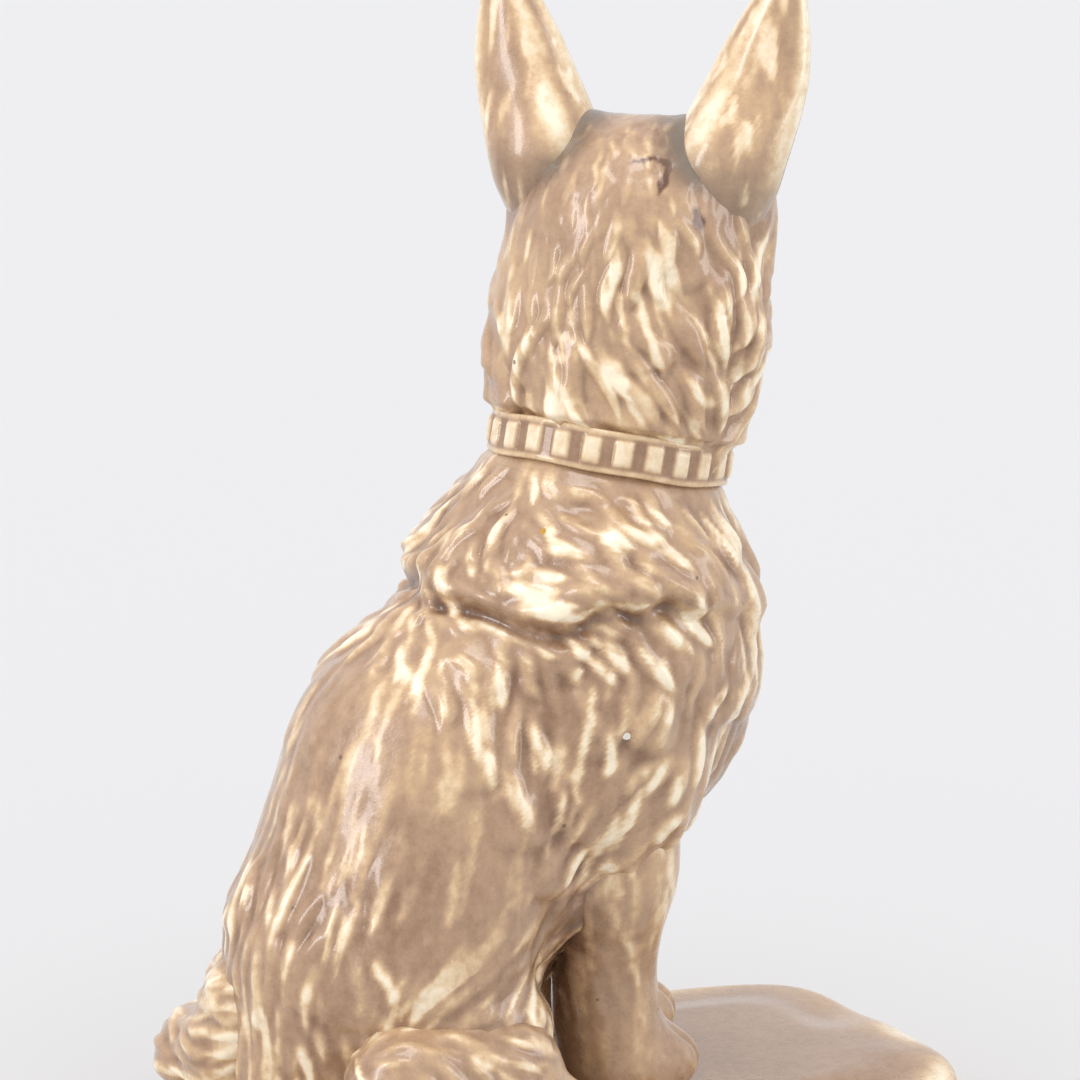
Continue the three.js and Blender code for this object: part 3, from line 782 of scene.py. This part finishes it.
def ear_grid(side, rows=110, cols=96):
    """Crescent section: a half-width across, a bow of sin to the 0.95 to 1.3 behind, and a wall over it."""
    t = np.linspace(0, 1, rows)[:, None]
    columns = [np.interp(t, np.linspace(0, 1, len(EAR_LINE)), column) for column in EAR_LINE.T]
    kernel = np.hanning(15)[1:-1, None] / np.hanning(15).sum()
    window = np.arange(rows)[:, None] + np.arange(13)
    padded = [np.pad(v, ((6, 6), (0, 0)), "reflect", reflect_type="odd") for v in columns]
    z, middle_x, middle_y, half = ((v[window] * kernel).sum(1) for v in padded)
    angle = np.linspace(0, 2 * np.pi, cols, endpoint=False)[None]
    wall = 1.1 + 0.1 * half * ramp(0.5, 0, t)
    across = half * np.cos(angle)
    ridge = 0.35 * np.sin(3.2 * angle + 3 * t) * np.sin(np.pi * t) * ramp(0, 0.5, np.sin(angle))
    bow = half * (0.95 - 0.45 * ramp(0.3, 0.62, t))
    deep = bow * np.abs(np.sin(angle)) ** (0.95 + 0.35 * ramp(0.25, 0.55, t)) + (wall + ridge) * np.sin(angle)
    roll = np.radians(3)
    x = middle_x + across * np.cos(roll) - deep * np.sin(roll)
    y = middle_y + across * np.sin(roll) + deep * np.cos(roll)
    points = out_of_head(np.stack([side * x, y, z + 0 * x], -1).reshape(-1, 3))
    low, tip = EAR_LINE[0], EAR_LINE[-1]
    ends = out_of_head(np.array([[side * low[1], low[2], z[0, 0]], [side * tip[1], tip[2], z[-1, 0] + 0.3]]))
    back_ridge = np.clip(np.sin(3.2 * angle + 3 * t + 0.5 * np.sin(7 * t)), 0, 1)
    back_ridge = back_ridge * ramp(0.1, 0.7, np.sin(angle))
    rim = ramp(0.7, 0.98, np.abs(np.cos(angle))) * ramp(0.1, 0.35, t)
    brushed = cloud(np.stack([x, y, 0.12 * z + 0 * x], -1).reshape(-1, 3), 1.7, 51 + side).reshape(x.shape)
    brushed = 0.6 * ramp(0.56, 0.85, brushed) * ramp(-0.1, 0.4, np.sin(angle))
    broken_ridge = 0.8 * back_ridge**2 * (0.4 + 0.6 * np.sin(9 * t + 2 * angle) ** 2)
    crest = np.clip(np.maximum(broken_ridge, brushed) + 0.65 * rim, 0, 1)
    # Painted shade: darker and greyer at the ear's root, most on its inner side, and darker inside its
    # forward scoop.
    root = ramp(0.42, 0.2, t) * (0.35 + 0.65 * ramp(0.3, -0.7, np.cos(angle)))
    hollow = 1.3 * root + 0.9 * ramp(-0.2, -1, np.sin(angle))
    facts = {"crest": crest, "hollow": hollow, "grey_shade": root, "show": 0 * crest + 0.6}
    facts = {k: np.concatenate([v.ravel(), [0, 0]]) for k, v in facts.items()}
    return np.concatenate([points, ends]), (rows, cols), facts


ear_sides = (("left_ear_casting", 1), ("right_ear_casting", -1))
ears = [clay_piece(name, *ear_grid(side)) for name, side in ear_sides]


# %% Painted shade in the crease round each ear
def crease(points, others):
    """exp(-(distance to the nearest of the other points / 4.2 mm) squared), worked out a block at a time."""
    nearest = np.full(len(points), 1e9)
    for block in np.array_split(np.arange(len(points)), max(1, len(points) // 1500)):
        off = points[block][:, None] - others[None]
        nearest[block] = np.einsum("ijk,ijk->ij", off, off).min(1)
    return np.exp(-nearest / 4.2**2)


high = np.flatnonzero(in_head(head_points)[:, 2] > -4)
ear_points = np.concatenate([ear_grid(side, 60, 48)[0] for side in (1, -1)])
pool_and_shade = head_facts["hollow"].copy()
# Painted shade: within a few mm of the ears the head's tone is darkened, more so up on the crown, where a
# grey is painted in as well.
folded, up_head = crease(head_points[high], ear_points), in_head(head_points[high])[:, 2]
pool_and_shade[high] = np.maximum(pool_and_shade[high], folded * (0.6 + 1.0 * ramp(13, 21, up_head)))
grey_shade = np.zeros(len(head_points))
grey_shade[high] = folded * ramp(13, 20, up_head)
head.data.attributes["hollow"].data.foreach_set("value", pool_and_shade.astype(np.float32))
head.data.attributes.new("grey_shade", "FLOAT", "POINT").data.foreach_set("value", grey_shade.astype(np.float32))
print("pooled round the ears:", int((pool_and_shade[high] > 0.5).sum()), "points")

# %% [markdown]
# ## Legs and tail
#
# Each leg is a skin round a path that comes down from the elbow and bends into the paw, so the end fan
# closes over the toes. The toes are three grooves in the front of the paw. The hind leg is folded: the
# shin lies on the foot, and both melt into one skin. The tail curls round to the dog's left.

# %% Forelegs
def paw_grooves(p, x, toe_y):
    """Three dents run back over the toes, at the paw's middle and a quarter to each side."""
    front = ramp(toe_y + 11, toe_y + 2, p[:, 1])
    lines = sum(np.exp(-(((p[:, 0] - x - dx) / 0.9) ** 2)) for dx in (-4.6, 0, 4.6))
    return -1.3 * lines * front


def foreleg(name, side, elbow_y, foot_y, seed):
    """Upper arm, forearm and paw melted together, with short hair lying down the leg."""
    x = 14 * side

    def clay(p):
        upper = limb(p, (17 * side, elbow_y - 2, 66), 13.6, (16 * side, elbow_y, 48), 13)
        lower = limb(p, (16 * side, elbow_y, 48), 13, (x, foot_y, 18), 8.3)
        ankle = limb(p, (x, foot_y, 18), 8.3, (x, foot_y - 2, 8), 8.5)
        return melt(3, upper, lower, ankle, egg(p, (x, foot_y - 7, 6), (10, 13, 7.5)))

    path = [(16.5 * side, elbow_y, 60), (14.4 * side, foot_y, 26)]
    path += [(x, foot_y - 1.5, 14), (x, foot_y - 8.5, 7.5)]
    points, shape = skin(clay, path, 120, 120, (20, 40))
    guides = [((x, foot_y, 40), (0, -0.1, -1), 30), ((x, foot_y - 20, 5), (0, -1, -0.4), 12)]

    def coat(q):
        fade = ramp(14, 22, q[:, 2])
        one = np.ones(len(q))
        return 14 * one, 3.4 * one, 0.06 + 0.12 * fade * ramp(-12, 6, q[:, 1] - foot_y), 0.25 + 0.25 * fade

    def toes(q):
        return paw_grooves(q, x, foot_y - 20)

    points, facts = furred(name, clay, points, shape, guides, coat, seed, toes)
    # Painted shade in the fold behind the elbow, as on the body.
    facts["hollow"] = facts["hollow"] + shade_behind_elbow(points)
    return clay_piece(name, points, shape, facts)


forelegs = [
    foreleg("left_foreleg_casting", 1, -7, -11.5, 31),
    foreleg("right_foreleg_casting", -1, 1, -1, 37),
]


# %% Hind legs
def hind_leg(name, side, seed):
    """Shin over foot, both lying forwards on the slab."""

    def clay(p):
        shin = limb(p, (31 * side, 31, 17), 11, (32 * side, 52, 16.5), 11.5)
        return melt(3, shin, egg(p, (35 * side, 27, 6.5), (9.5, 15, 7.5)))

    path = [(32.4 * side, 52, 14), (32.4 * side, 42, 13.5), (33.5 * side, 31, 10.5), (34.6 * side, 23, 7.5)]
    points, shape = skin(clay, path, 80, 130, (34, 34))
    guides = [((33 * side, 44, 18), (0, -0.8, -0.5), 16), ((35 * side, 20, 6), (0, -1, -0.2), 10)]

    def coat(q):
        one = np.ones(len(q))
        return 14 * one, 3.0 * one, 0.12 + 0.3 * ramp(20, 30, q[:, 1]), 0.6 + 0.3 * ramp(20, 30, q[:, 1])

    def toes(q):
        return paw_grooves(q, 35 * side, 12)

    points, facts = furred(name, clay, points, shape, guides, coat, seed, toes)
    return clay_piece(name, points, shape, facts)


hind_legs = [hind_leg("left_hind_leg_casting", 1, 41), hind_leg("right_hind_leg_casting", -1, 43)]

# %% Tail
TAIL_ROUTE = [(5, 59, 33), (8, 64, 24), (13, 67, 13), (26, 68, 8), (36.5, 60, 6.8), (40, 46, 5.5)]
TAIL_RADII = [8, 9, 8.5, 7.5, 6.5, 3.5]


def tail_clay(p):
    """Five limbs end to end along the route, melted into one brush."""
    runs = zip(TAIL_ROUTE, TAIL_RADII, TAIL_ROUTE[1:], TAIL_RADII[1:])
    return melt(2, *[limb(p, a, ra, b, rb) for a, ra, b, rb in runs])


tail_points, tail_shape = skin(tail_clay, TAIL_ROUTE, 130, 90, (16, 16), sideways=(0, 0, 1))
tail_guides = [
    ((5, 66, 10), (0.7, 0.6, -0.2), 12),
    ((26, 71, 8), (1, -0.1, 0), 12),
    ((40, 54, 6), (0.15, -1, 0), 12),
]
tail_coat = lambda q: tuple(size + 0 * q[:, 0] for size in (15, 3.8, 0.7, 0.8))
tail_points, tail_facts = furred("tail", tail_clay, tail_points, tail_shape, tail_guides, tail_coat, 47)
tail = clay_piece("tail_casting", tail_points, tail_shape, tail_facts)

# %% [markdown]
# ## Collar
#
# The strap is a closed band round the neck, a little tilted as the neck is, with a raised edge above and
# below. Round it stands a row of plain oblong studs, all alike. The band and its studs are one surface of
# two parameters: the angle round the neck, and the place on the band's section.

# %% Collar surface
STUDS = 24
STRAP_IN, STRAP_OUT, STRAP_TALL = 20.6, 23.8, 8.4


def collar_grid(around=1152, section=64):
    """Section is a rounded oblong; studs lift its outer face where angle and height both lie inside a pad."""
    turn = np.linspace(0, 2 * np.pi, around, endpoint=False)[None]
    s = np.linspace(0, 2 * np.pi, section, endpoint=False)[:, None]
    square = 1 / (np.abs(np.cos(s)) ** 7 + np.abs(np.sin(s)) ** 7) ** (1 / 7)
    out = (STRAP_IN + STRAP_OUT) / 2 + (STRAP_OUT - STRAP_IN) / 2 * square * np.cos(s)
    up = STRAP_TALL / 2 * square * np.sin(s)
    outer = ramp(0.3, 0.8, np.cos(s))
    beat = (turn * STUDS / (2 * np.pi)) % 1 - 0.5
    along_mm = np.abs(beat) * 2 * np.pi * STRAP_OUT / STUDS
    pad = ramp(2.3, 1.1, along_mm) * ramp(3.2, 1.9, np.abs(up))
    rim = ramp(3.0, 3.6, np.abs(up)) + 0 * turn
    sway = 0.25 * np.sin(3 * turn + 1) + 0.15 * np.sin(7 * turn)
    radius = out + outer * (0.7 * pad + 0.35 * rim - 0.2) + 0.15 * np.sin(5 * turn)
    flat = np.stack([radius * np.cos(turn), radius * np.sin(turn), up + sway + 0 * radius], -1)
    east = unit(np.cross([0, 1, 0], NECK_AXIS))
    north = np.cross(NECK_AXIS, east)
    points = COLLAR_AT + flat[..., :1] * east + flat[..., 1:2] * north + flat[..., 2:] * NECK_AXIS
    crest = np.clip(outer * (0.85 * pad + 0.6 * rim), 0, 1)
    hollow = 0.5 * outer * ramp(0.7, 0.0, pad + rim)
    return points, crest, hollow


collar_points, collar_crest, collar_hollow = collar_grid()
collar_rows, collar_cols = collar_points.shape[:2]
ring = np.arange(collar_rows * collar_cols).reshape(collar_rows, collar_cols)
wrap = lambda a, i, j: np.roll(np.roll(a, -i, 0), -j, 1)
collar_faces = np.stack([ring, wrap(ring, 0, 1), wrap(ring, 1, 1), wrap(ring, 1, 0)], -1).reshape(-1, 4)
collar = make_object("collar_strap", to_metres(collar_points.reshape(-1, 3)), [collar_faces])
for fact, values in (("crest", collar_crest), ("hollow", collar_hollow), ("show", 0 * collar_crest + 0.5)):
    layer = collar.data.attributes.new(fact, "FLOAT", "POINT")
    layer.data.foreach_set("value", values.ravel().astype(np.float32))
print("collar:", len(collar_faces), "quads,", STUDS, "studs")

# %% [markdown]
# ## Slab
#
# The slab under the dog is a rounded oblong with soft, slightly uneven edges, as slip leaves them. One
# parameter runs round its outline, the other down its profile: from the middle of the top, over the edge,
# down the side and in again underneath, where it stands flat on the table and its middle lies a millimetre
# up.

# %% Slab surface
def slab_grid(around=420):
    """Outline of straight sides and round corners, drawn in by the profile's inset at each height."""
    turn = np.linspace(0, 2 * np.pi, around, endpoint=False)[None]
    bend = np.linspace(0, np.pi / 2, 12)[:, None]
    edge = 5.0
    draw_in = np.concatenate([
        np.linspace(44, edge, 34)[:, None], edge - edge * np.sin(bend[1:]), np.zeros((6, 1)),
        3 - 3 * np.cos(bend[1:]), np.linspace(3, 40, 14)[1:, None]])
    down = np.concatenate([
        np.zeros((34, 1)), edge - edge * np.cos(bend[1:]), np.linspace(edge, SLAB_THICK - 3, 8)[1:-1, None],
        SLAB_THICK - 3 + 3 * np.sin(bend[1:]), np.full((13, 1), SLAB_THICK)])
    half_x, half_y, corner = 45.0, 81.0, 13.0
    x_in, y_in = half_x - draw_in, half_y - draw_in
    round_off = np.clip(corner - draw_in * 0.6, 1.5, None)
    c, s = np.cos(turn), np.sin(turn)
    power = 2 + 5.5 * np.clip(1 - round_off / 22, 0, 1)
    swell = (np.abs(c) ** power + np.abs(s) ** power) ** (-1 / power)
    x = np.maximum(x_in, 0.9) * swell * c
    y = np.maximum(y_in, 37) * swell * s
    top = ramp(SLAB_THICK * 0.6, 0, down)
    uneven = 0.35 * np.sin(3 * turn + 0.6) + 0.25 * np.sin(5 * turn - 1) + 0.15 * np.sin(11 * turn)
    z = -down + top * (1.8 * uneven - 1.0) * ramp(60, 20, np.abs(draw_in - 6) * 4)
    points = np.stack([x, y + DOG_FORWARD, z], -1).reshape(-1, 3)
    wander = 0.55 + 0.45 * np.sin(7 * turn + np.sin(3 * turn) * 2)
    rim = np.exp(-(((draw_in - 3.5) / 3.2) ** 2)) * top * wander
    poles = np.array([[0, DOG_FORWARD, z[0].mean()], [0, DOG_FORWARD, -SLAB_THICK + 1.0]])
    facts = {"crest": 0.8 * rim, "hollow": 0.25 * top * ramp(8, 14, draw_in) + 0 * rim, "show": 0 * rim + 0.5}
    facts = {k: np.concatenate([v.ravel(), [0, 0]]) for k, v in facts.items()}
    return np.concatenate([points, poles]), (len(draw_in), around), facts


slab = clay_piece("slab_casting", *slab_grid())

# %% [markdown]
# ## Eyes and nose
#
# The eyes are low domes between the lids, and the nose a rounded wedge with two nostrils. Both are the
# same clay and glaze as the rest, a shade darker where the glaze pools round them.

# %% Eyes and nose
def eye(name, side):
    """A ball of 3.2 mm set into its socket, as a skin round a short path."""
    centre = out_of_head(EYE * [side, 1, 1] + [0, 1.8, 0])
    ball = lambda p: np.linalg.norm(p - centre, axis=-1) - 3.2
    look = HEAD_TURN @ np.array([0.35 * side, -1, 0])
    path = [centre - 0.2 * look, centre + 0.2 * look]
    points, shape = skin(ball, path, 3, 48, (14, 14), sideways=(0, 0, 1))
    front = (points - centre) @ unit(look) / 3.2
    facts = {"crest": 0 * front, "hollow": 0.6 + 0.6 * ramp(0.8, 0.9, front), "show": 0 * front}
    return clay_piece(name, points, shape, facts)


def nose():
    """Wedge with a flat front and two dents, on the end of the muzzle."""
    clay = lambda p: egg(in_head(p), (0, -47, -5.6), (5.2, 3.6, 4.0))
    start, end = (out_of_head(np.array([0, y, -5.6])) for y in (-46, -48))
    points, shape = skin(clay, [start, end], 8, 72, (16, 22), sideways=(0, 0, 1))
    h = pair(in_head(points))
    nostril = near(h, (2.5, -49.6, -5.2), (1.1, 3, 0.9))
    points = points + slope_of(clay, points) * (-1.3 * nostril)[:, None]
    facts = {"crest": 0 * nostril, "hollow": 0.5 + 0.5 * nostril, "show": 0 * nostril}
    return clay_piece("nose", points, shape, facts)


face = [eye("left_eye", 1), eye("right_eye", -1), nose()]

# %% [markdown]
# ## The glaze
#
# One satin glaze covers everything. Where it is thin, on every raised edge, the pale body shows as cream;
# where it pools it is taupe; and between the two lies a golden brown. So one number, the tone, is enough:
# it rises with the crest of a tuft, falls in the hollows, and wanders slowly over the surface. The same
# hollow fact also carries painted shade: under the cape's ledge, in the fold behind each elbow, low on
# the body, inside the ears and round their roots, where a grey is painted in as well. A colour ramp turns
# the tone into the glaze. Wet clay under the brush also leaves a fine unevenness, which is a small bump,
# and the kiln leaves a few dark pinholes.

# %% A short way to wire nodes
class Wiring:
    """Adds nodes to one material and joins them; numbers are set on sockets, outputs are linked."""

    def __init__(self, material):
        material.use_nodes = True
        self.tree = material.node_tree
        self.shader = self.tree.nodes["Principled BSDF"]

    def put(self, socket, value):
        if isinstance(value, bpy.types.NodeSocket):
            self.tree.links.new(value, socket)
        else:
            socket.default_value = value

    def node(self, kind, settings=None, **inputs):
        made = self.tree.nodes.new(kind)
        for key, value in (settings or {}).items():
            setattr(made, key, value)
        for key, value in inputs.items():
            self.put(made.inputs[key.replace("_", " ")], value)
        return made

    def maths(self, operation, *values):
        made = self.tree.nodes.new("ShaderNodeMath")
        made.operation = operation
        for socket, value in zip(made.inputs, values):
            self.put(socket, value)
        return made.outputs[0]

    def noise(self, place, scale, detail=3.0, rough=0.55):
        made = self.node("ShaderNodeTexNoise", Vector=place, Scale=scale, Detail=detail, Roughness=rough)
        return made.outputs["Fac"]


# %% Glaze material
GLAZE_STEPS = [
    (0.0, (0.110, 0.060, 0.036)),
    (0.22, (0.232, 0.123, 0.063)),
    (0.45, (0.432, 0.274, 0.163)),
    (0.57, (0.548, 0.362, 0.198)),
    (0.72, (0.715, 0.530, 0.320)),
    (1.0, (0.880, 0.770, 0.575)),
]


def glaze(name, base=0.45, cream=0.68, drift=0.42, streaks=0.15, spots=()):
    """Tone = base + cream x crest - (pooled glaze and painted shade) x hollow + drift + streaks drawn down
    + mottle, then a colour ramp, with a painted grey shade mixed in round the ears. Spots are (place in
    metres, radius, colour)."""
    material = bpy.data.materials.new(name)
    w = Wiring(material)
    place = w.node("ShaderNodeTexCoord").outputs["Object"]
    crest = w.node("ShaderNodeAttribute", {"attribute_name": "crest"}).outputs["Fac"]
    hollow = w.node("ShaderNodeAttribute", {"attribute_name": "hollow"}).outputs["Fac"]
    slow = w.noise(place, 48.0, 2.0)
    mottle = w.noise(place, 420.0, 4.0, 0.6)
    fine = w.noise(place, 1500.0, 3.0)
    patchy = w.maths("MULTIPLY", crest, w.maths("MULTIPLY_ADD", mottle, 1.2, 0.45))
    tone = w.maths("MULTIPLY_ADD", patchy, cream, base)
    # The hollow fact lowers the tone: pooled glaze, and painted shade where it was added to the fact.
    tone = w.maths("MULTIPLY_ADD", hollow, -0.32, tone)
    tone = w.maths("MULTIPLY_ADD", w.maths("SUBTRACT", slow, 0.5), drift, tone)
    drawn = w.node("ShaderNodeMapping", Vector=place, Scale=(1.0, 1.0, 0.13)).outputs["Vector"]
    streak = w.noise(drawn, 330.0, 3.0, 0.5)
    tone = w.maths("MULTIPLY_ADD", w.maths("SUBTRACT", streak, 0.5), streaks, tone)
    tone = w.maths("MULTIPLY_ADD", w.maths("SUBTRACT", mottle, 0.5), 0.22, tone)
    tone = w.maths("MULTIPLY_ADD", w.maths("SUBTRACT", fine, 0.5), 0.10, tone)
    steps = w.node("ShaderNodeValToRGB", Fac=tone)
    stops = steps.color_ramp.elements
    while len(stops) < len(GLAZE_STEPS):
        stops.new(0.5)
    for stop, (at, colour) in zip(stops, GLAZE_STEPS):
        stop.position = at
        stop.color = (*colour, 1)
    pits = w.node("ShaderNodeTexVoronoi", Vector=place, Scale=95.0)
    pit = w.maths("LESS_THAN", pits.outputs["Distance"], 0.045)
    chance = w.node("ShaderNodeSeparateColor", Color=pits.outputs["Color"]).outputs["Red"]
    speck = w.maths("MULTIPLY", pit, w.maths("GREATER_THAN", chance, 0.72))
    dark = w.node("ShaderNodeMix", {"data_type": "RGBA"})
    w.put(dark.inputs["Factor"], w.maths("MULTIPLY", speck, 0.75))
    w.put(dark.inputs["A"], steps.outputs["Color"])
    w.put(dark.inputs["B"], (0.12, 0.07, 0.04, 1))
    bare = w.node("ShaderNodeMix", {"data_type": "RGBA"})
    w.put(bare.inputs["Factor"], w.node("ShaderNodeAttribute", {"attribute_name": "chip"}).outputs["Fac"])
    w.put(bare.inputs["A"], dark.outputs["Result"])
    w.put(bare.inputs["B"], (0.12, 0.042, 0.012, 1))
    # Painted shade: a grey is mixed in round the ear roots, by the fact read here, patchy with the slow
    # noise.
    grey = w.node("ShaderNodeMix", {"data_type": "RGBA"})
    grey_shade = w.node("ShaderNodeAttribute", {"attribute_name": "grey_shade"}).outputs["Fac"]
    w.put(grey.inputs["Factor"], w.maths("MULTIPLY", grey_shade, w.maths("MULTIPLY_ADD", slow, 1.2, 0.15)))
    w.put(grey.inputs["A"], bare.outputs["Result"])
    w.put(grey.inputs["B"], (0.215, 0.175, 0.13, 1))
    colour = grey.outputs["Result"]
    for spot, radius, tint in spots:
        away = w.node("ShaderNodeVectorMath", {"operation": "DISTANCE"})
        w.put(away.inputs[0], place)
        w.put(away.inputs[1], tuple(float(c) for c in spot))
        dot = w.node("ShaderNodeMix", {"data_type": "RGBA"})
        w.put(dot.inputs["Factor"], w.maths("LESS_THAN", away.outputs["Value"], radius))
        w.put(dot.inputs["A"], colour)
        w.put(dot.inputs["B"], (*tint, 1))
        colour = dot.outputs["Result"]
    w.put(w.shader.inputs["Base Color"], colour)
    w.put(w.shader.inputs["Roughness"], w.maths("MULTIPLY_ADD", mottle, 0.16, 0.2))
    w.shader.inputs["IOR"].default_value = 1.5
    w.shader.inputs["Coat Weight"].default_value = 0.5
    w.shader.inputs["Coat Roughness"].default_value = 0.12
    w.shader.inputs["Subsurface Weight"].default_value = 0.0
    height = w.maths("MULTIPLY_ADD", mottle, 1.0, w.maths("MULTIPLY", fine, 0.3))
    bump = w.node("ShaderNodeBump", Height=height, Strength=0.35, Distance=0.0004)
    w.put(w.shader.inputs["Normal"], bump.outputs["Normal"])
    return material


def on_body(place):
    """The body's skin point nearest to a place given in mm, in metres."""
    return to_metres(body_points[np.argmin(((body_points - np.array(place)) ** 2).sum(-1))])


kiln_spots = [  # place, radius in metres, colour: a white pinhead and an amber speck
    (on_body((-30, 3.3, 82.3)), 0.0008, (0.9, 0.87, 0.78)),
    (on_body((-18, 14, 116.5)), 0.0007, (0.5, 0.26, 0.02)),
]
fur_glaze = glaze("fur_glaze", spots=kiln_spots)
ear_glaze = glaze("ear_glaze", base=0.44, cream=0.62, streaks=0.3)
collar_glaze = glaze("collar_glaze", base=0.47, cream=0.42)
slab_glaze = glaze("slab_glaze", base=0.46, cream=0.6, drift=0.2, streaks=0)
face_glaze = glaze("face_glaze", base=0.34, cream=0.2)
print(len(bpy.data.materials), "materials")

# %% [markdown]
# ## Putting it together
#
# Every piece takes a glaze and rides on the one body that the figurine is; the CAD casting that a piece
# refines is hidden.

# %% Pieces, castings and finishes
assembly = [
    (body, fur_glaze, "body"),
    (head, fur_glaze, "head"),
    (ears[0], ear_glaze, "left_ear"),
    (ears[1], ear_glaze, "right_ear"),
    (forelegs[0], fur_glaze, "left_foreleg"),
    (forelegs[1], fur_glaze, "right_foreleg"),
    (hind_legs[0], fur_glaze, "left_hind_leg"),
    (hind_legs[1], fur_glaze, "right_hind_leg"),
    (tail, fur_glaze, "tail"),
    (collar, collar_glaze, "collar"),
    (slab, slab_glaze, "slab_base"),
]
for piece in [row[0] for row in assembly] + face:
    lit_by_boxes.objects.link(piece)
for piece, finish, casting in assembly:
    piece.data.materials.append(finish)
    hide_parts(casting)
    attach(piece, "root")
for piece in face:
    piece.data.materials.append(face_glaze)
    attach(piece, "root")
print(len(assembly) + len(face), "pieces ride on the body")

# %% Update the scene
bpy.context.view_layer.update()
